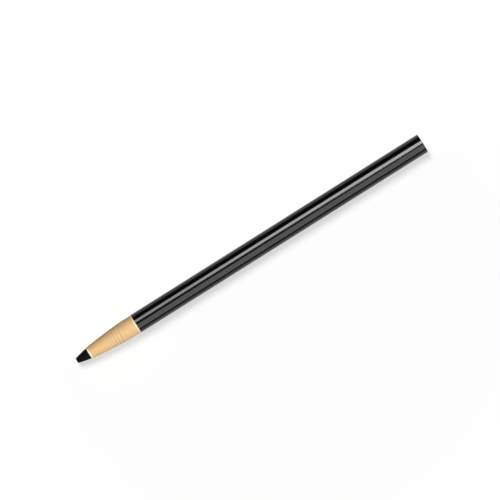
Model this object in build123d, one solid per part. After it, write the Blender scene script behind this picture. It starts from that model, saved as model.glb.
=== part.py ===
# A peel-off china marker lying on its side. A wax core runs the whole length. A kraft sheet is rolled
# tight round it and slit into strips, which are peeled away from the point as the wax wears down.
# A glossy black cover wraps the roll, and a string under the cover tears it open as far as the next
# notch, so that the next strip can be unrolled.
#
# The axis runs along X, with the wax point towards -X and the cut butt end towards +X. The origin lies
# under the middle of the length, on the surface that the barrel rests on. Sizes are in millimetres,
# and distances along the marker are measured from the tip of the point.

import math
import os

from build123d import *

# Whole marker
overall_length = 177.8
barrel_diameter = 9.0

# Wax core, ground to a blunt point with slightly swollen flanks
core_diameter = 5.1
point_length = 6.2
point_tip_diameter = 2.3
point_tip_round = 0.45
point_swell = 0.1

# Rolled paper: the bullet-shaped taper on its front, which meets the shoulder at a slight knee, cuts
# through the turns of the sheet one by one
roll_fit = 0.03
paper_thickness = 0.1
bare_length = 24.2
shoulder_length = 5.9
taper_knee_deg = 2.9
bare_strips = 3
covered_strips = 14

# Cover paper: its seam, which the marker lies on, was pressed slightly flat while the glue set
cover_thickness = 0.15
cover_fit = 0.03
seam_gap = 0.12
seam_flat_depth = 0.06
seam_angle_deg = 180.0

# Pull string in its groove, and the notches in the cover that stop the tear
string_diameter = 0.45
string_fit = 0.04
string_angle_deg = 120.0
notch_length = 2.4
notch_width = 0.25

# Sizes that follow from the ones above
barrel_radius = barrel_diameter / 2
core_radius = core_diameter / 2
bore_radius = core_radius + roll_fit
roll_radius = barrel_radius - cover_thickness - cover_fit
turns = round((roll_radius - bore_radius) / paper_thickness)
turn_thickness = (roll_radius - bore_radius) / turns
paper_front = point_length
cover_front = paper_front + bare_length
taper_end = cover_front - shoulder_length
taper_length = taper_end - paper_front
taper_drop = roll_radius - (bore_radius + turn_thickness)
taper_knee = math.radians(taper_knee_deg)
tangent_offset = taper_drop * math.cos(taper_knee) - taper_length * math.sin(taper_knee)
taper_arc_radius = (taper_length**2 + taper_drop**2) / (2 * tangent_offset)


def about_axis(angle_deg):
    # Turns what stands at the top of the barrel to an angle counted from +Z towards +Y.
    return Rot(-angle_deg, 0, 0)


def bar(start, end, radius):
    # Round bar on the axis between two distances from the tip.
    return extrude(Plane.YZ.offset(start) * Circle(radius), end - start)


def upright_slot(start, end, width, bottom, top):
    # Box that stands above the axis, between two distances from the tip and two radii.
    from_corner = (Align.MIN, Align.CENTER, Align.MIN)
    return Pos(start, 0, bottom) * Box(end - start, width, top - bottom, align=from_corner)


def wax_core():
    tip_radius = point_tip_diameter / 2
    flank_middle = (point_length / 2, (tip_radius + core_radius) / 2 + point_swell)
    outline = [
        Line((0, 0), (0, tip_radius)),
        ThreePointArc((0, tip_radius), flank_middle, (point_length, core_radius)),
        Line((point_length, core_radius), (overall_length, core_radius)),
        Line((overall_length, core_radius), (overall_length, 0)),
        Line((overall_length, 0), (0, 0)),
    ]
    core = revolve(make_face(outline), Axis.X)
    tip_edge = core.edges().filter_by(GeomType.CIRCLE).sort_by(Axis.X)[0]
    return fillet(tip_edge, point_tip_round)


def taper_distance(radius):
    # Where the ground taper, a shallow arc from the paper's front to the knee, reaches a radius.
    rise = taper_arc_radius * math.cos(taper_knee) - (roll_radius - radius)
    arc_middle = taper_end + taper_arc_radius * math.sin(taper_knee)
    return arc_middle - math.sqrt(taper_arc_radius**2 - rise**2)


def paper_roll():
    # The whole roll before it is slit: each turn of the sheet starts a little behind the one under it.
    outline = []
    for turn in range(turns):
        inside = bore_radius + turn * turn_thickness
        start = taper_distance(inside + turn_thickness / 2) if turn else paper_front
        outline += [(start, inside), (start, inside + turn_thickness)]
    outline += [(overall_length, roll_radius), (overall_length, bore_radius)]
    return revolve(make_face(Polyline(outline, close=True)), Axis.X) - string_groove()


def string_groove():
    # Groove in the roll, open to the cover, from the end of the taper to the butt end.
    width = string_diameter + 2 * string_fit
    bottom = roll_radius - string_diameter - string_fit
    groove = upright_slot(taper_end - string_fit, overall_length, width, bottom, barrel_radius)
    return about_axis(string_angle_deg) * groove


def pull_string():
    string_radius = string_diameter / 2
    string = bar(taper_end, overall_length, string_radius)
    return about_axis(string_angle_deg) * Pos(0, 0, roll_radius - string_radius) * string


def even_slits(start, end, strips):
    # Distances of the slits that part a stretch of the roll into strips, with both its ends.
    return [start + (end - start) * number / strips for number in range(strips + 1)]


def peel_strips():
    # Slits the roll: the bare strips end where the cover starts, and the covered ones follow.
    roll = paper_roll()
    slits = even_slits(paper_front, cover_front, bare_strips)
    slits += even_slits(cover_front, overall_length, covered_strips)[1:]
    strips = {}
    for number, (start, end) in enumerate(zip(slits, slits[1:]), start=1):
        strips[f"peel_strip_{number:02d}"] = roll & bar(start, end, barrel_radius)
    return strips


def cover_wrap():
    inside = roll_radius + cover_fit
    cover = bar(cover_front, overall_length, barrel_radius) - bar(cover_front, overall_length, inside)
    flat_radius = barrel_radius - seam_flat_depth
    pressed = upright_slot(cover_front, overall_length, barrel_diameter, flat_radius, barrel_diameter)
    seam = upright_slot(cover_front, overall_length, seam_gap, core_radius, barrel_diameter)
    cover -= about_axis(seam_angle_deg) * (pressed + seam)
    for slit in even_slits(cover_front, overall_length, covered_strips)[1:-1]:
        start = slit - notch_width / 2
        notch = upright_slot(start, start + notch_width, notch_length, core_radius, barrel_diameter)
        cover -= about_axis(string_angle_deg) * notch
    return cover


def marker():
    pieces = {"wax_core": wax_core()}
    pieces.update(peel_strips())
    pieces["pull_string"] = pull_string()
    pieces["cover_wrap"] = cover_wrap()
    place = Pos(-overall_length / 2, 0, barrel_radius - seam_flat_depth)
    return {name: place * piece for name, piece in pieces.items()}


os.makedirs("parts", exist_ok=True)
for name, piece in marker().items():
    export_step(piece, f"parts/{name}.step")
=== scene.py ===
import math

import bmesh
import bpy
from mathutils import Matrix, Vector


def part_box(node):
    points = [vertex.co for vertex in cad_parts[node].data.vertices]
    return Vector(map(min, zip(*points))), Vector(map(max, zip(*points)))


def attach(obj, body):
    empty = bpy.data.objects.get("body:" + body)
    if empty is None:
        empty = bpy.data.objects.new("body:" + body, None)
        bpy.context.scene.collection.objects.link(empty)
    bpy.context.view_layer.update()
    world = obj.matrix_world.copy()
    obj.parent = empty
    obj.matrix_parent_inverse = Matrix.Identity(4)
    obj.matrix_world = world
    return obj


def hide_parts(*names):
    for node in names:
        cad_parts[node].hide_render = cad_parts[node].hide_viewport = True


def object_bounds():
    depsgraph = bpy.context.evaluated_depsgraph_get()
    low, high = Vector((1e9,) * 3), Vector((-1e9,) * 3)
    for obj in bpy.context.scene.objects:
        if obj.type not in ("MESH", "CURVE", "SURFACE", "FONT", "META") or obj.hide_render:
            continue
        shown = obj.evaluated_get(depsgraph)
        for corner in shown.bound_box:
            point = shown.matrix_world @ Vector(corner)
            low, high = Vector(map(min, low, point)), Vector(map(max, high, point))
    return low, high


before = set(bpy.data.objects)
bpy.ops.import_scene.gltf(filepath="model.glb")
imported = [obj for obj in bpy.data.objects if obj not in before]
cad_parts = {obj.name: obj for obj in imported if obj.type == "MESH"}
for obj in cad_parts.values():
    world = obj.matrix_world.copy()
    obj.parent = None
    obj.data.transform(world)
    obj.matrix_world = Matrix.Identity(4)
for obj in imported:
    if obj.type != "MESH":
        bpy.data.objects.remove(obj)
cadLow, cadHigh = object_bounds()
mm = 0.001
closeness = 0.0005 * mm  # points nearer than this are one point to the mesh tools
inPlane = 2 * closeness  # points this near to a plane lie in it
squarely = 0.9  # a face whose normal has this much of an axis faces along it
coveredStrips = range(4, 17)  # those that show only through the notches and the seam of the cover

# The marker lies along X with its wax point towards -X, and rests on z = 0
waxLow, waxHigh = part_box("wax_core")
axisHeight = (waxLow.z + waxHigh.z) / 2


def reach(node):  # least and greatest distance of a node's mesh from the marker's axis
    points = [v.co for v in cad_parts[node].data.vertices]
    distances = [math.hypot(p.y, p.z - axisHeight) for p in points]
    return min(distances), max(distances)


coreRadius = (waxHigh.z - waxLow.z) / 2
boreRadius, rollRadius = reach("peel_strip_05")
coverLow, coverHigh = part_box("cover_wrap")
coverInside = reach("cover_wrap")[0]
barrelRadius = (coverHigh.y - coverLow.y) / 2
tipX, buttX = cadLow.x, cadHigh.x
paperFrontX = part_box("peel_strip_01")[0].x
coverFrontX = coverLow.x
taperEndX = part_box("pull_string")[0].x


# Small helpers for working in edit mode

def pickNone():  # leaves edit mode with nothing selected
    if bpy.context.mode != "OBJECT":
        bpy.ops.object.mode_set(mode="OBJECT")
    bpy.ops.object.select_all(action="DESELECT")


def pickOnly(piece):
    pickNone()
    piece.select_set(True)
    bpy.context.view_layer.objects.active = piece


def pick(piece, kind, test):  # selects the verts, edges or faces that pass a test
    pickOnly(piece)
    bpy.ops.object.mode_set(mode="EDIT")
    bpy.ops.mesh.select_mode(type={"verts": "VERT", "edges": "EDGE", "faces": "FACE"}[kind])
    bpy.ops.mesh.select_all(action="DESELECT")
    mesh = bmesh.from_edit_mesh(piece.data)
    for item in getattr(mesh, kind):
        if test(item):
            item.select_set(True)
    mesh.select_flush_mode()
    bmesh.update_edit_mesh(piece.data)


def everything(item):
    return True


def moveVerts(piece, place):  # vertex moves where no operator gives the shape
    pickOnly(piece)
    for vertex in piece.data.vertices:
        vertex.co = place(vertex.co)
    piece.data.update()


def axisDistance(point):
    return math.hypot(point.y, point.z - axisHeight)


def aroundAxis(x, radius, angle):  # the angle runs from the top towards +Y
    return Vector((x, radius * math.sin(angle), axisHeight + radius * math.cos(angle)))


def setRadius(point, radius):  # keeps the point's angle about the axis
    scale = radius / axisDistance(point)
    return Vector((point.x, point.y * scale, axisHeight + (point.z - axisHeight) * scale))


def trim(piece, point, normal):  # cuts off what lies on the far side of a plane
    pick(piece, "verts", everything)
    bpy.ops.mesh.bisect(plane_co=point, plane_no=normal, clear_outer=True, threshold=closeness)


def finishMesh(piece, name, smoothAngle):
    pick(piece, "verts", everything)
    bpy.ops.mesh.remove_doubles(threshold=closeness)
    bpy.ops.mesh.normals_make_consistent(inside=False)
    pickOnly(piece)
    bpy.ops.object.transform_apply(location=True, rotation=True, scale=True)
    bpy.ops.object.shade_smooth_by_angle(angle=math.radians(smoothAngle))
    piece.name = name
    return piece


def applyModifier(piece, kind, settings):
    pickOnly(piece)
    bpy.ops.object.modifier_add(type=kind)
    modifier = piece.modifiers[-1]
    for key, value in settings.items():
        setattr(modifier, key, value)
    bpy.ops.object.modifier_apply(modifier=modifier.name)


def addTube(sides, radius, startX, endX, endFill):  # a cylinder primitive laid along the axis
    pickNone()
    bpy.ops.mesh.primitive_cylinder_add(
        vertices=sides, radius=radius, depth=endX - startX, end_fill_type=endFill,
        location=((startX + endX) / 2, 0, axisHeight), rotation=(0, math.pi / 2, 0))
    bpy.ops.object.transform_apply(location=True, rotation=True, scale=True)
    return bpy.context.object


# Wax core: a round stick whose front is drawn in to a blunt, slightly swollen point

waxLook = {"sides": 144, "steps": 12, "tipRadius": 1.15 * mm, "swell": 0.10 * mm, "tipRound": 0.36 * mm,
           "tipSegments": 8, "buttRound": 0.05 * mm, "buttSegments": 3, "smooth": 35}


def makeWaxCore():
    core = addTube(waxLook["sides"], coreRadius, paperFrontX, buttX, "NGON")
    pointLength = paperFrontX - tipX
    stepLength = pointLength / waxLook["steps"]
    pick(core, "faces", lambda face: face.normal.x < -squarely)
    radius = coreRadius
    for step in range(1, waxLook["steps"] + 1):
        share = step / waxLook["steps"]
        straight = coreRadius + (waxLook["tipRadius"] - coreRadius) * share
        nextRadius = straight + waxLook["swell"] * 4 * share * (1 - share)
        ratio = nextRadius / radius
        bpy.ops.mesh.extrude_region_move(TRANSFORM_OT_translate={"value": (-stepLength, 0, 0)})
        bpy.ops.transform.resize(value=(1, ratio, ratio), center_override=(tipX, 0, axisHeight))
        radius = nextRadius
    bpy.ops.mesh.region_to_loop()
    bpy.ops.mesh.bevel(offset=waxLook["tipRound"], segments=waxLook["tipSegments"], affect="EDGES")
    pick(core, "edges", lambda edge: all(v.co.x > buttX - inPlane for v in edge.verts))
    bpy.ops.mesh.bevel(offset=waxLook["buttRound"], segments=waxLook["buttSegments"], affect="EDGES")
    return finishMesh(core, "waxCore", waxLook["smooth"])


# Rolled paper: one long sheet wound round the core, whose taper is ground through its turns, so that
# the edge of the sheet shows as one fine spiral

rollLook = {"sides": 240, "sheet": 0.10 * mm, "sheetStart": 0.35, "knee": 2.9, "edgeLift": 0.03 * mm,
            "wornFrom": 9 * mm, "freshFrom": 13 * mm, "wornLeast": 0.25, "kneeRub": 2.5 * mm,
            "rowShares": (0.0, 0.12, 0.5, 0.88, 1.0), "slitEdge": 0.015 * mm, "underCover": 1 * mm,
            "wander": 0.10 * mm, "waves": ((0.5, 2.37, 0.0), (0.3, 5.71, 1.1), (0.2, 13.3, 2.3)),
            "smooth": 40}

turns = round((rollRadius - boreRadius) / rollLook["sheet"])
turnPitch = (rollRadius - boreRadius) / turns
taperLength = taperEndX - paperFrontX
taperDrop = rollRadius - boreRadius - turnPitch
knee = math.radians(rollLook["knee"])  # the ground arc meets the shoulder at this angle
tangentOffset = taperDrop * math.cos(knee) - taperLength * math.sin(knee)
taperArc = (taperLength ** 2 + taperDrop ** 2) / (2 * tangentOffset)


def taperX(radius):  # where the ground arc reaches a radius
    rise = taperArc * math.cos(knee) - (rollRadius - radius)
    return taperEndX + taperArc * math.sin(knee) - math.sqrt(taperArc ** 2 - rise ** 2)


def sheetRadius(turn, angle):  # the spiral that the sheet follows
    return boreRadius + turnPitch * (turn - rollLook["sheetStart"] + angle / math.tau)


def edgeWander(turn, angle):  # ground edges are never quite even
    path = math.tau * turn + angle
    sway = sum(share * math.sin(rate * path + start) for share, rate, start in rollLook["waves"])
    return rollLook["wander"] * sway


def edgeFreshness(x):  # fingers rub the sheet's edge smooth towards the front and at the knee
    rise = (x - paperFrontX - rollLook["wornFrom"]) / (rollLook["freshFrom"] - rollLook["wornFrom"])
    front = min(max(rise, rollLook["wornLeast"]), 1)
    return front * min((taperEndX - x) / rollLook["kneeRub"], 1)


def taperPoint(turn, share, angle):
    radius = sheetRadius(turn + share, angle)
    if radius >= rollRadius:
        return aroundAxis(taperEndX, rollRadius, angle)
    wander = (1 - share) * edgeWander(turn, angle) + share * edgeWander(turn + 1, angle)
    x = min(taperX(radius) + wander, taperEndX)
    lift = rollLook["edgeLift"] * (0.5 - share) * edgeFreshness(x)
    return aroundAxis(x, min(radius + lift, rollRadius), angle)


def rollGrid(rows, place):  # winds a flat grid into a roll; each row is one line along the sheet
    sides = rollLook["sides"]
    pickNone()
    bpy.ops.mesh.primitive_grid_add(x_subdivisions=len(rows) - 1, y_subdivisions=sides, size=1)
    rolled = bpy.context.object

    def wind(point):
        row = rows[round((point.x + 0.5) * (len(rows) - 1))]
        return place(row, math.tau * round((point.y + 0.5) * sides) / sides)

    moveVerts(rolled, wind)
    pick(rolled, "verts", everything)
    bpy.ops.mesh.remove_doubles(threshold=closeness)
    return rolled


def groundTaper():
    rows = [(turn, share) for turn in range(-1, turns + 2) for share in rollLook["rowShares"]]
    rows.append("shoulder")

    def place(row, angle):
        if row == "shoulder":
            return aroundAxis(coverFrontX + rollLook["underCover"], rollRadius, angle)
        return taperPoint(row[0], row[1], angle)

    return rollGrid(rows, place)


def drawIn(strip, along, newRadius):  # extrudes the selected edges and brings them nearer to the axis
    bpy.ops.mesh.extrude_edges_move(TRANSFORM_OT_translate={"value": (along, 0, 0)})
    mesh = bmesh.from_edit_mesh(strip.data)
    for vertex in mesh.verts:
        if vertex.select:
            vertex.co = setRadius(vertex.co, newRadius(vertex.co))


def closeStrip(strip, ends):  # breaks the edge of each slit, draws the open ends in to the bore, joins them
    for endX, edgeBreak in ends:
        pick(strip, "edges", lambda edge: edge.is_boundary
             and all(abs(v.co.x - endX) < inPlane for v in edge.verts))
        drawIn(strip, edgeBreak, lambda point: axisDistance(point) - abs(edgeBreak))
        drawIn(strip, 0, lambda point: boreRadius)
        bpy.ops.mesh.remove_doubles(threshold=closeness)
    pick(strip, "edges", lambda edge: edge.is_boundary)
    bpy.ops.mesh.bridge_edge_loops()


def cutGroove(strip):  # the string's groove, from the front of the string to the butt
    low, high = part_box("pull_string")
    stringRadius = (high.z - low.z) / 2
    angle = math.atan2((low.y + high.y) / 2, (low.z + high.z) / 2 - axisHeight)
    width = 2 * stringRadius + 2 * stringLook["fit"]
    depth = 2 * stringRadius + stringLook["fit"]
    middle = (rollRadius - depth + barrelRadius) / 2
    pickNone()
    centre = aroundAxis((low.x + high.x) / 2, middle, angle)
    bpy.ops.mesh.primitive_cube_add(size=1, location=centre, rotation=(-angle, 0, 0))
    cutter = bpy.context.object
    cutter.scale = (high.x - low.x + stringLook["overrun"], width, barrelRadius - rollRadius + depth)
    cutter.location.x += stringLook["overrun"] / 2 - stringLook["fit"]
    bpy.ops.object.transform_apply(location=True, rotation=True, scale=True)
    applyModifier(strip, "BOOLEAN", {"operation": "DIFFERENCE", "solver": "EXACT", "object": cutter})
    bpy.data.objects.remove(cutter)


def makeBareStrip(taper, number):
    low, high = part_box(f"peel_strip_{number:02d}")
    pickOnly(taper)
    bpy.ops.object.duplicate()
    strip = bpy.context.object
    endBreak = rollLook["slitEdge"]
    startBreak = 0 if number == 1 else endBreak
    startX, endX = low.x + startBreak, high.x - endBreak
    trim(strip, (startX, 0, axisHeight), (-1, 0, 0))
    trim(strip, (endX, 0, axisHeight), (1, 0, 0))
    closeStrip(strip, ((startX, -startBreak), (endX, endBreak)))
    if endX > taperEndX:
        cutGroove(strip)
    return finishMesh(strip, f"peelStrip{number:02d}", rollLook["smooth"])


buttLook = {"crown": 0.03 * mm, "rowShares": (0.0, 0.25, 0.5, 0.75)}


def makeButtStrip():  # the last strip shows the sawn ends of the turns
    low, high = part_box("peel_strip_17")
    rows = [(turn, share) for turn in range(-1, turns + 2) for share in buttLook["rowShares"]]

    def place(row, angle):
        turn, share = row
        radius = sheetRadius(turn + share, angle)
        valley = buttLook["crown"] * (2 * share - 1) ** 2
        if radius <= boreRadius or radius >= rollRadius:
            radius = min(max(radius, boreRadius), rollRadius)
            valley = buttLook["crown"]
        return aroundAxis(high.x - valley, radius, angle)

    strip = rollGrid(rows, place)
    pick(strip, "edges", lambda edge: edge.is_boundary)
    bpy.ops.mesh.extrude_edges_move(TRANSFORM_OT_translate={"value": (low.x - high.x, 0, 0)})
    bpy.ops.mesh.bridge_edge_loops()
    cutGroove(strip)
    return finishMesh(strip, "buttStrip", rollLook["smooth"])


# Pull string: three strands laid together

stringLook = {"fit": 0.04 * mm, "overrun": 2 * mm, "strands": 3, "strandGap": 0.004 * mm, "pitch": 1.5 * mm,
              "sides": 8, "stepsPerTurn": 10, "smooth": 50}


def makePullString():
    low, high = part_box("pull_string")
    stringRadius = (high.z - low.z) / 2
    spacing = math.sin(math.pi / stringLook["strands"])
    touching = stringRadius * spacing / (1 + spacing)  # round strands that fill a circle side by side
    strandRadius = touching - stringLook["strandGap"] / 2
    offset = stringRadius - strandRadius
    laidTurns = round((high.x - low.x) / stringLook["pitch"])
    strands = []
    for number in range(stringLook["strands"]):
        angle = math.tau * number / stringLook["strands"]
        pickNone()
        bpy.ops.mesh.primitive_circle_add(
            vertices=stringLook["sides"], radius=strandRadius, fill_type="NOTHING",
            location=(0, offset * math.sin(angle), offset * math.cos(angle)), rotation=(0, math.pi / 2, 0))
        bpy.ops.object.transform_apply(location=True, rotation=True, scale=True)
        strand = bpy.context.object
        applyModifier(strand, "SCREW", {
            "axis": "X", "angle": math.tau, "screw_offset": (high.x - low.x) / laidTurns,
            "iterations": laidTurns, "steps": stringLook["stepsPerTurn"],
            "render_steps": stringLook["stepsPerTurn"]})
        pick(strand, "edges", lambda edge: edge.is_boundary)
        bpy.ops.mesh.edge_face_add()
        pickOnly(strand)
        strands.append(strand)
    for strand in strands:
        strand.select_set(True)
    bpy.ops.object.join()
    string = bpy.context.object
    string.location = (low.x, (low.y + high.y) / 2, (low.z + high.z) / 2)
    return finishMesh(string, "pullString", stringLook["smooth"])


# Cover: a printed and varnished sheet wrapped once round the roll, with its butted seam below

coverLook = {"sides": 200, "seamGap": 0.12 * mm, "seamZone": 0.9, "notchLength": 2.4 * mm,
             "notchWidth": 0.25 * mm, "notchMargin": 1.0 * mm, "edgeRound": 0.02 * mm, "edgeSegments": 2,
             "edgeAngle": 50, "cutFacing": 0.5, "smooth": 40}


def splitFaces(piece, point, normal, test):  # a new edge line across the faces that pass the test
    pick(piece, "faces", test)
    bpy.ops.mesh.bisect(plane_co=point, plane_no=normal, threshold=closeness)


def makeCover():
    cover = addTube(coverLook["sides"], barrelRadius, coverFrontX, buttX, "NOTHING")
    low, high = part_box("pull_string")
    stringAngle = math.atan2((low.y + high.y) / 2, (low.z + high.z) / 2 - axisHeight)
    stringWay = Vector((0, math.sin(stringAngle), math.cos(stringAngle)))
    across = Vector((0, math.cos(stringAngle), -math.sin(stringAngle)))
    axisPoint = Vector((0, 0, axisHeight))
    halfNotch = coverLook["notchLength"] / 2

    def besideString(face, margin):
        centre = face.calc_center_median() - axisPoint
        return centre.dot(stringWay) > 0 and abs(centre.dot(across)) < halfNotch + margin

    def inSeam(face):
        centre = face.calc_center_median()
        return centre.z < axisHeight and abs(centre.y) < coverLook["seamGap"] / 2

    seamTop = axisHeight - barrelRadius * coverLook["seamZone"]
    for side in (-1, 1):
        splitFaces(cover, axisPoint + across * side * halfNotch, across,
                   lambda face: besideString(face, coverLook["notchMargin"]))
        splitFaces(cover, (0, side * coverLook["seamGap"] / 2, 0), (0, 1, 0),
                   lambda face: face.calc_center_median().z < seamTop)
    notchPlaces = [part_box(f"peel_strip_{number:02d}")[1].x for number in coveredStrips]
    for notchX in notchPlaces:
        for side in (-1, 1):
            planeX = notchX + side * coverLook["notchWidth"] / 2
            splitFaces(cover, (planeX, 0, 0), (1, 0, 0), lambda face: besideString(face, 0))

    def inNotch(face):
        x = face.calc_center_median().x
        return besideString(face, 0) and any(abs(x - n) < coverLook["notchWidth"] / 2 for n in notchPlaces)

    pick(cover, "faces", lambda face: inSeam(face) or inNotch(face))
    bpy.ops.mesh.delete(type="FACE")
    pick(cover, "verts", everything)
    bpy.ops.mesh.normals_make_consistent(inside=False)
    applyModifier(cover, "SOLIDIFY", {"thickness": barrelRadius - coverInside, "offset": -1})
    applyModifier(cover, "BEVEL", {
        "width": coverLook["edgeRound"], "segments": coverLook["edgeSegments"], "limit_method": "ANGLE",
        "angle_limit": math.radians(coverLook["edgeAngle"])})
    moveVerts(cover, lambda point: Vector((point.x, point.y, max(point.z, 0))))
    finishMesh(cover, "coverWrap", coverLook["smooth"])
    applyModifier(cover, "WEIGHTED_NORMAL", {"keep_sharp": True})  # the long faces stay straight in the light
    return cover


# Materials: their fibres, lint and grain are drawn coarser than real ones, which are too fine to show

def fromHex(code):  # sRGB hex to linear
    channels = [int(code[i:i + 2], 16) / 255 for i in (1, 3, 5)]
    linear = [c / 12.92 if c <= 0.04045 else ((c + 0.055) / 1.055) ** 2.4 for c in channels]
    return (*linear, 1)


# Inputs are values, or output sockets to link. A colour Mix takes its factor at 0 and its colours at 6 and
# 7, and gives its colour at 2
def addNode(tree, kind, settings, inputs):
    node = tree.nodes.new(kind)
    for key, value in settings.items():
        setattr(node, key, value)
    for key, value in inputs.items():
        if isinstance(value, bpy.types.NodeSocket):
            tree.links.new(value, node.inputs[key])
        else:
            node.inputs[key].default_value = value
    return node


def newMaterial(name):
    material = bpy.data.materials.new(name)
    material.use_nodes = True
    shader = material.node_tree.nodes["Principled BSDF"]
    return material, material.node_tree, shader


waxFinish = {"pigment": "#030303", "bloom": "#080809", "bloomSize": 1.2 * mm, "bloomDetail": 6,
             "bloomHeight": 0.03 * mm, "bump": 0.25, "roughness": (0.50, 0.66), "ior": 1.44,
             "specular": 0.10}


def groundWax():  # pigmented wax, drawn and ground to a point: deep black with a soft, low sheen
    material, tree, shader = newMaterial("groundWax")
    place = addNode(tree, "ShaderNodeTexCoord", {}, {}).outputs["Object"]
    bloom = addNode(tree, "ShaderNodeTexNoise", {}, {
        "Vector": place, "Scale": 1 / waxFinish["bloomSize"], "Detail": waxFinish["bloomDetail"]})
    colour = addNode(tree, "ShaderNodeMix", {"data_type": "RGBA"}, {
        0: bloom.outputs["Fac"], 6: fromHex(waxFinish["pigment"]), 7: fromHex(waxFinish["bloom"])})
    sheen = addNode(tree, "ShaderNodeMapRange", {}, {
        "Value": bloom.outputs["Fac"], "To Min": waxFinish["roughness"][0],
        "To Max": waxFinish["roughness"][1]})
    bump = addNode(tree, "ShaderNodeBump", {}, {
        "Height": bloom.outputs["Fac"], "Strength": waxFinish["bump"], "Distance": waxFinish["bloomHeight"]})
    tree.links.new(colour.outputs[2], shader.inputs["Base Color"])
    tree.links.new(sheen.outputs["Result"], shader.inputs["Roughness"])
    tree.links.new(bump.outputs["Normal"], shader.inputs["Normal"])
    shader.inputs["IOR"].default_value = waxFinish["ior"]
    shader.inputs["Specular IOR Level"].default_value = waxFinish["specular"]
    return material


kraftFinish = {"front": "#F0C283", "shoulder": "#EDC48C", "ring": "#D7A86C", "lip": "#EFC895",
               "cutEdge": "#FFF3D6", "ringEnds": (0.1, 0.55), "frontEdge": (0.3 * mm, 1.0 * mm),
               "coverEdge": (0.25 * mm, 0.9 * mm), "endFacing": 0.7, "cloudSize": 4 * mm, "cloudDetail": 3,
               "cloudShare": 0.6, "alongShares": (-0.2, 0.8), "fibreSize": 0.5 * mm, "fibreDetail": 8,
               "fibreHeight": 0.04 * mm, "fleck": 0.3, "bump": 0.3, "roughness": 0.6, "ior": 1.45}


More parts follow.
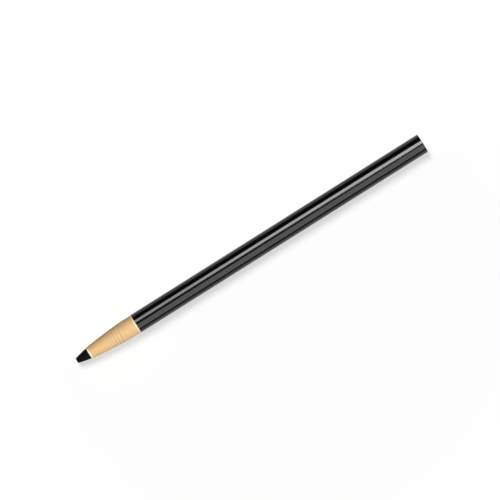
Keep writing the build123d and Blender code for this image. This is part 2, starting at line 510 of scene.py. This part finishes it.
def rolledKraft():  # unbleached paper wound in a roll and ground: matt tan, with the turns as fine rings
    material, tree, shader = newMaterial("rolledKraft")
    place = addNode(tree, "ShaderNodeTexCoord", {}, {}).outputs["Object"]
    centred = addNode(tree, "ShaderNodeMapping", {}, {"Vector": place, "Location": (0, 0, -axisHeight)})
    parts = addNode(tree, "ShaderNodeSeparateXYZ", {}, {"Vector": centred.outputs["Vector"]})

    # how far round the spiral of the sheet a point lies, in turns
    flat = addNode(tree, "ShaderNodeVectorMath", {"operation": "MULTIPLY"}, {
        0: centred.outputs["Vector"], 1: (0, 1, 1)})
    radius = addNode(tree, "ShaderNodeVectorMath", {"operation": "LENGTH"}, {0: flat.outputs["Vector"]})
    angle = addNode(tree, "ShaderNodeMath", {"operation": "ARCTAN2"}, {
        0: parts.outputs["Y"], 1: parts.outputs["Z"]})
    wound = addNode(tree, "ShaderNodeMath", {"operation": "MULTIPLY"}, {
        0: angle.outputs["Value"], 1: 1 / math.tau})
    outward = addNode(tree, "ShaderNodeMath", {"operation": "MULTIPLY_ADD"}, {
        0: radius.outputs["Value"], 1: 1 / turnPitch, 2: rollLook["sheetStart"] - boreRadius / turnPitch})
    turn = addNode(tree, "ShaderNodeMath", {"operation": "SUBTRACT"}, {
        0: outward.outputs["Value"], 1: wound.outputs["Value"]})
    within = addNode(tree, "ShaderNodeMath", {"operation": "FRACT"}, {0: turn.outputs["Value"]})
    ring = addNode(tree, "ShaderNodeMapRange", {"interpolation_type": "SMOOTHSTEP"}, {
        "Value": within.outputs["Value"], "From Min": kraftFinish["ringEnds"][0],
        "From Max": kraftFinish["ringEnds"][1], "To Min": 1, "To Max": 0})
    ringTone = addNode(tree, "ShaderNodeMix", {"data_type": "RGBA"}, {
        0: ring.outputs["Result"], 6: fromHex(kraftFinish["lip"]), 7: fromHex(kraftFinish["ring"])})

    # rings show on the taper, where they aren't worn, and on cut ends, not on the round outside of the roll
    front = addNode(tree, "ShaderNodeMapRange", {}, {
        "Value": parts.outputs["X"], "From Min": paperFrontX + rollLook["wornFrom"],
        "From Max": paperFrontX + rollLook["freshFrom"], "To Min": rollLook["wornLeast"], "To Max": 1})
    beforeKnee = addNode(tree, "ShaderNodeMapRange", {}, {
        "Value": parts.outputs["X"], "From Min": taperEndX - rollLook["kneeRub"], "From Max": taperEndX,
        "To Min": 1, "To Max": 0})
    onTaper = addNode(tree, "ShaderNodeMath", {"operation": "MULTIPLY"}, {
        0: front.outputs["Result"], 1: beforeKnee.outputs["Result"]})
    facing = addNode(tree, "ShaderNodeSeparateXYZ", {}, {
        "Vector": addNode(tree, "ShaderNodeNewGeometry", {}, {}).outputs["Normal"]})
    endOn = addNode(tree, "ShaderNodeMath", {"operation": "ABSOLUTE"}, {0: facing.outputs["X"]})
    onEnd = addNode(tree, "ShaderNodeMath", {"operation": "GREATER_THAN"}, {
        0: endOn.outputs["Value"], 1: kraftFinish["endFacing"]})
    shown = addNode(tree, "ShaderNodeMath", {"operation": "MAXIMUM"}, {
        0: onTaper.outputs["Value"], 1: onEnd.outputs["Value"]})

    # pale cut fibres at the paper's front and on the outside beside the cover's edge
    frontPale = addNode(tree, "ShaderNodeMapRange", {"interpolation_type": "SMOOTHSTEP"}, {
        "Value": parts.outputs["X"], "From Min": paperFrontX + kraftFinish["frontEdge"][0],
        "From Max": paperFrontX + kraftFinish["frontEdge"][1], "To Min": 1, "To Max": 0})
    fromCover = addNode(tree, "ShaderNodeMath", {"operation": "SUBTRACT"}, {
        0: parts.outputs["X"], 1: coverFrontX})
    besideCover = addNode(tree, "ShaderNodeMath", {"operation": "ABSOLUTE"}, {0: fromCover.outputs["Value"]})
    coverPale = addNode(tree, "ShaderNodeMapRange", {"interpolation_type": "SMOOTHSTEP"}, {
        "Value": besideCover.outputs["Value"], "From Min": kraftFinish["coverEdge"][0],
        "From Max": kraftFinish["coverEdge"][1], "To Min": 1, "To Max": 0})
    outsidePale = addNode(tree, "ShaderNodeMath", {"operation": "SUBTRACT"}, {
        0: coverPale.outputs["Result"], 1: onEnd.outputs["Value"]})
    pale = addNode(tree, "ShaderNodeMath", {"operation": "MAXIMUM"}, {
        0: frontPale.outputs["Result"], 1: outsidePale.outputs["Value"]})

    cloud = addNode(tree, "ShaderNodeTexNoise", {}, {
        "Vector": place, "Scale": 1 / kraftFinish["cloudSize"], "Detail": kraftFinish["cloudDetail"]})
    along = addNode(tree, "ShaderNodeMapRange", {}, {
        "Value": parts.outputs["X"], "From Min": paperFrontX, "From Max": coverFrontX,
        "To Min": kraftFinish["alongShares"][0], "To Max": kraftFinish["alongShares"][1]})
    paler = addNode(tree, "ShaderNodeMath", {"operation": "MULTIPLY_ADD", "use_clamp": True}, {
        0: cloud.outputs["Fac"], 1: kraftFinish["cloudShare"], 2: along.outputs["Result"]})
    body = addNode(tree, "ShaderNodeMix", {"data_type": "RGBA"}, {
        0: paler.outputs["Value"], 6: fromHex(kraftFinish["front"]), 7: fromHex(kraftFinish["shoulder"])})
    ringed = addNode(tree, "ShaderNodeMix", {"data_type": "RGBA"}, {
        0: shown.outputs["Value"], 6: body.outputs[2], 7: ringTone.outputs[2]})
    edged = addNode(tree, "ShaderNodeMix", {"data_type": "RGBA"}, {
        0: pale.outputs["Value"], 6: ringed.outputs[2], 7: fromHex(kraftFinish["cutEdge"])})
    fibre = addNode(tree, "ShaderNodeTexNoise", {}, {
        "Vector": place, "Scale": 1 / kraftFinish["fibreSize"], "Detail": kraftFinish["fibreDetail"]})
    flecked = addNode(tree, "ShaderNodeMix", {"data_type": "RGBA", "blend_type": "OVERLAY"}, {
        0: kraftFinish["fleck"], 6: edged.outputs[2], 7: fibre.outputs["Fac"]})
    bump = addNode(tree, "ShaderNodeBump", {}, {
        "Height": fibre.outputs["Fac"], "Strength": kraftFinish["bump"],
        "Distance": kraftFinish["fibreHeight"]})
    tree.links.new(flecked.outputs[2], shader.inputs["Base Color"])
    tree.links.new(bump.outputs["Normal"], shader.inputs["Normal"])
    shader.inputs["Roughness"].default_value = kraftFinish["roughness"]
    shader.inputs["IOR"].default_value = kraftFinish["ior"]
    return material


coverFinish = {"print": "#020202", "grainPrint": "#060607", "waveSize": 3 * mm, "waveDetail": 2,
               "waveStretch": 5, "waveHeight": 0.05 * mm, "bump": 0.15, "grainSize": 0.4 * mm,
               "grainDetail": 4, "roughness": (0.08, 0.17), "ior": 1.40}


def varnishedCover():  # black print under a gloss varnish on paper: sharp, slightly wavy highlights
    material, tree, shader = newMaterial("varnishedCover")
    place = addNode(tree, "ShaderNodeTexCoord", {}, {}).outputs["Object"]
    stretched = addNode(tree, "ShaderNodeMapping", {}, {
        "Vector": place, "Scale": (1 / coverFinish["waveStretch"], 1, 1)})
    wave = addNode(tree, "ShaderNodeTexNoise", {}, {
        "Vector": stretched.outputs["Vector"], "Scale": 1 / coverFinish["waveSize"],
        "Detail": coverFinish["waveDetail"]})
    grain = addNode(tree, "ShaderNodeTexNoise", {}, {
        "Vector": place, "Scale": 1 / coverFinish["grainSize"], "Detail": coverFinish["grainDetail"]})
    gloss = addNode(tree, "ShaderNodeMapRange", {}, {
        "Value": grain.outputs["Fac"], "To Min": coverFinish["roughness"][0],
        "To Max": coverFinish["roughness"][1]})
    colour = addNode(tree, "ShaderNodeMix", {"data_type": "RGBA"}, {
        0: grain.outputs["Fac"], 6: fromHex(coverFinish["print"]), 7: fromHex(coverFinish["grainPrint"])})
    bump = addNode(tree, "ShaderNodeBump", {}, {
        "Height": wave.outputs["Fac"], "Strength": coverFinish["bump"],
        "Distance": coverFinish["waveHeight"]})
    tree.links.new(colour.outputs[2], shader.inputs["Base Color"])
    tree.links.new(gloss.outputs["Result"], shader.inputs["Roughness"])
    tree.links.new(bump.outputs["Normal"], shader.inputs["Normal"])
    shader.inputs["IOR"].default_value = coverFinish["ior"]
    return material


rawEdgeFinish = {"pulp": "#C9C2B4", "stained": "#8E887C", "fibreSize": 0.12 * mm, "fibreDetail": 4,
                 "fibreHeight": 0.03 * mm, "bump": 0.4, "roughness": 0.95}


def cutCoverPaper():  # white paper cut with a knife: a dull pale line along each edge of the black cover
    material, tree, shader = newMaterial("cutCoverPaper")
    place = addNode(tree, "ShaderNodeTexCoord", {}, {}).outputs["Object"]
    fibre = addNode(tree, "ShaderNodeTexNoise", {}, {
        "Vector": place, "Scale": 1 / rawEdgeFinish["fibreSize"], "Detail": rawEdgeFinish["fibreDetail"]})
    colour = addNode(tree, "ShaderNodeMix", {"data_type": "RGBA"}, {
        0: fibre.outputs["Fac"], 6: fromHex(rawEdgeFinish["stained"]), 7: fromHex(rawEdgeFinish["pulp"])})
    bump = addNode(tree, "ShaderNodeBump", {}, {
        "Height": fibre.outputs["Fac"], "Strength": rawEdgeFinish["bump"],
        "Distance": rawEdgeFinish["fibreHeight"]})
    tree.links.new(colour.outputs[2], shader.inputs["Base Color"])
    tree.links.new(bump.outputs["Normal"], shader.inputs["Normal"])
    shader.inputs["Roughness"].default_value = rawEdgeFinish["roughness"]
    return material


cottonFinish = {"shade": "#CFC8B8", "thread": "#F1ECE0", "lintSize": 0.15 * mm, "lintDetail": 5,
                "lintHeight": 0.02 * mm, "bump": 0.4, "roughness": 0.9, "sheen": 0.3}


def twistedCotton():  # bleached cotton thread: matt off-white with soft shaded strands
    material, tree, shader = newMaterial("twistedCotton")
    place = addNode(tree, "ShaderNodeTexCoord", {}, {}).outputs["Object"]
    lint = addNode(tree, "ShaderNodeTexNoise", {}, {
        "Vector": place, "Scale": 1 / cottonFinish["lintSize"], "Detail": cottonFinish["lintDetail"]})
    colour = addNode(tree, "ShaderNodeMix", {"data_type": "RGBA"}, {
        0: lint.outputs["Fac"], 6: fromHex(cottonFinish["shade"]), 7: fromHex(cottonFinish["thread"])})
    bump = addNode(tree, "ShaderNodeBump", {}, {
        "Height": lint.outputs["Fac"], "Strength": cottonFinish["bump"],
        "Distance": cottonFinish["lintHeight"]})
    tree.links.new(colour.outputs[2], shader.inputs["Base Color"])
    tree.links.new(bump.outputs["Normal"], shader.inputs["Normal"])
    shader.inputs["Roughness"].default_value = cottonFinish["roughness"]
    shader.inputs["Sheen Weight"].default_value = cottonFinish["sheen"]
    return material


lightGroups = {"black": [], "kraft": [], "floor": []}


def dress(piece, material, lightGroup):
    piece.data.materials.clear()
    piece.data.materials.append(material)
    lightGroups[lightGroup].append(piece)


def setPiece(piece, node, body, material, lightGroup):
    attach(piece, body)
    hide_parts(node)
    dress(piece, material, lightGroup)


kraft = rolledKraft()
setPiece(makeWaxCore(), "wax_core", "barrel", groundWax(), "black")
print("wax core made")

taper = groundTaper()
for number, body in ((1, "first_strip"), (2, "second_strip"), (3, "third_strip")):
    setPiece(makeBareStrip(taper, number), f"peel_strip_{number:02d}", body, kraft, "kraft")
bpy.data.objects.remove(taper)
setPiece(makeButtStrip(), "peel_strip_17", "barrel", kraft, "kraft")
for number in coveredStrips:
    dress(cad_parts[f"peel_strip_{number:02d}"], kraft, "kraft")
print("paper strips made")

setPiece(makePullString(), "pull_string", "barrel", twistedCotton(), "kraft")
print("pull string made")


def showCutEdges(cover, material):  # gives the faces that a knife made their own material
    cover.data.materials.append(material)
    for face in cover.data.polygons:
        outward = Vector((0, face.center.y, face.center.z - axisHeight)).normalized()
        if abs(face.normal.dot(outward)) < coverLook["cutFacing"]:
            face.material_index = 1


cover = makeCover()
setPiece(cover, "cover_wrap", "barrel", varnishedCover(), "black")
showCutEdges(cover, cutCoverPaper())
print("cover made")


# Camera straight above, as the photograph is taken

photoView = {"lens": 300, "sensor": 36, "widthSeen": 217.7 * mm, "turn": -32.2,
             "right": 0.14 * mm, "up": 0.88 * mm}


def makeCamera():
    turn = math.radians(photoView["turn"])
    right = Vector((math.cos(turn), math.sin(turn), 0)) * photoView["right"]
    up = Vector((-math.sin(turn), math.cos(turn), 0)) * photoView["up"]
    height = photoView["widthSeen"] * photoView["lens"] / photoView["sensor"]
    above = Vector((0, 0, axisHeight + height))
    bpy.ops.object.camera_add(location=right + up + above, rotation=(0, 0, turn))
    camera = bpy.context.object
    camera.data.lens = photoView["lens"]
    camera.data.sensor_width = photoView["sensor"]
    bpy.context.scene.camera = camera


# Light: three far panels in a row up the +Y side, the rear one brighter and nearer to overhead, and a wide
# dim one on the other side show as two bands on the black pieces. Dim panels beyond both ends give these a
# highlight in views along the marker. A panel over the marker lights the paper, and a softbox throws the
# shadow on the floor. Angles are from straight above, towards +Y unless turned, and lengths in metres

lightRig = {
    "keyFront": {"lights": "black", "angle": 25.7, "distance": 2.0, "width": 0.96, "length": 0.174,
                 "along": -0.113, "watts": 4.7},
    "keyMiddle": {"lights": "black", "angle": 24.0, "distance": 2.0, "width": 0.96, "length": 0.156,
                  "along": 0.052, "watts": 6.5},
    "keyRear": {"lights": "black", "angle": 16.5, "distance": 2.0, "width": 1.10, "length": 0.240,
                "along": 0.250, "watts": 13.2},
    "fill": {"lights": "black", "angle": -42.0, "distance": 1.0, "width": 1.06, "length": 1.0, "along": 0.0,
             "watts": 9.7},
    "frontEnd": {"lights": "black", "angle": 45.0, "turn": 90.0, "distance": 2.0, "width": 1.0, "length": 0.4,
                 "along": 0.0, "watts": 3.2},
    "rearEnd": {"lights": "black", "angle": 45.0, "turn": -90.0, "distance": 2.0, "width": 1.0, "length": 0.4,
                "along": 0.0, "watts": 3.2},
    "soft": {"lights": "kraft", "angle": -14.0, "distance": 1.0, "width": 1.0, "length": 1.0, "along": 0.0,
             "watts": 13.3},
    "shade": {"lights": "floor", "angle": 27.5, "distance": 2.0, "width": 0.81, "length": 0.50, "along": 0.0,
              "watts": 17.5},
}


def makeLights():
    for name, lamp in lightRig.items():
        tilt = math.radians(lamp["angle"])
        turn = math.radians(lamp.get("turn", 0))  # about the vertical, from +Y towards -X
        away = Vector((-math.sin(turn) * math.sin(tilt), math.cos(turn) * math.sin(tilt), math.cos(tilt)))
        place = away * lamp["distance"] + Vector((lamp["along"], 0, 0))
        bpy.ops.object.light_add(type="AREA", location=place, rotation=(-tilt, 0, turn))
        light = bpy.context.object
        light.name = name
        light.data.shape = "RECTANGLE"
        light.data.size = lamp["length"]
        light.data.size_y = lamp["width"]
        light.data.energy = lamp["watts"]
        light.visible_camera = False
        lit = bpy.data.collections.new(f"{name}Lit")
        for piece in lightGroups[lamp["lights"]]:
            lit.objects.link(piece)
        light.light_linking.receiver_collection = lit


# Floor: a matt board that reads as plain white and keeps the soft shadow

floorLook = {"size": 20.0, "fadeStart": 0.09, "fadeEnd": 0.30, "board": "#EAEAEA", "glow": 0.655,
             "roughness": 1.0, "specular": 0.0}


def paleFloor():
    material, tree, shader = newMaterial("paleFloor")
    place = addNode(tree, "ShaderNodeTexCoord", {}, {}).outputs["Object"]
    distance = addNode(tree, "ShaderNodeVectorMath", {"operation": "LENGTH"}, {0: place})
    glow = addNode(tree, "ShaderNodeMapRange", {"interpolation_type": "SMOOTHSTEP"}, {
        "Value": distance.outputs["Value"], "From Min": floorLook["fadeStart"],
        "From Max": floorLook["fadeEnd"], "To Min": floorLook["glow"], "To Max": 1})
    rays = addNode(tree, "ShaderNodeLightPath", {}, {})
    seen = addNode(tree, "ShaderNodeMath", {"operation": "MAXIMUM"}, {
        0: rays.outputs["Is Camera Ray"], 1: rays.outputs["Is Glossy Ray"]})
    seen = addNode(tree, "ShaderNodeMath", {"operation": "MAXIMUM"}, {
        0: seen.outputs["Value"], 1: rays.outputs["Is Transmission Ray"]})
    strength = addNode(tree, "ShaderNodeMath", {"operation": "MULTIPLY"}, {
        0: glow.outputs["Result"], 1: seen.outputs["Value"]})
    tree.links.new(strength.outputs["Value"], shader.inputs["Emission Strength"])
    shader.inputs["Emission Color"].default_value = (1, 1, 1, 1)
    shader.inputs["Base Color"].default_value = fromHex(floorLook["board"])
    shader.inputs["Roughness"].default_value = floorLook["roughness"]
    shader.inputs["Specular IOR Level"].default_value = floorLook["specular"]
    return material


def makeFloor():
    pickNone()
    bpy.ops.mesh.primitive_plane_add(size=floorLook["size"])
    floor = bpy.context.object
    floor.name = "floor"
    dress(floor, paleFloor(), "floor")


worldLook = {"walls": "#303030"}  # a dim room, so that the gloss stays black between the lamps


def makeWorld():
    world = bpy.data.worlds.new("studio")
    world.use_nodes = True
    world.node_tree.nodes["Background"].inputs["Color"].default_value = fromHex(worldLook["walls"])
    bpy.context.scene.world = world


makeCamera()
makeFloor()
makeLights()
makeWorld()
bpy.context.scene.view_settings.view_transform = "Standard"
print("stage set")
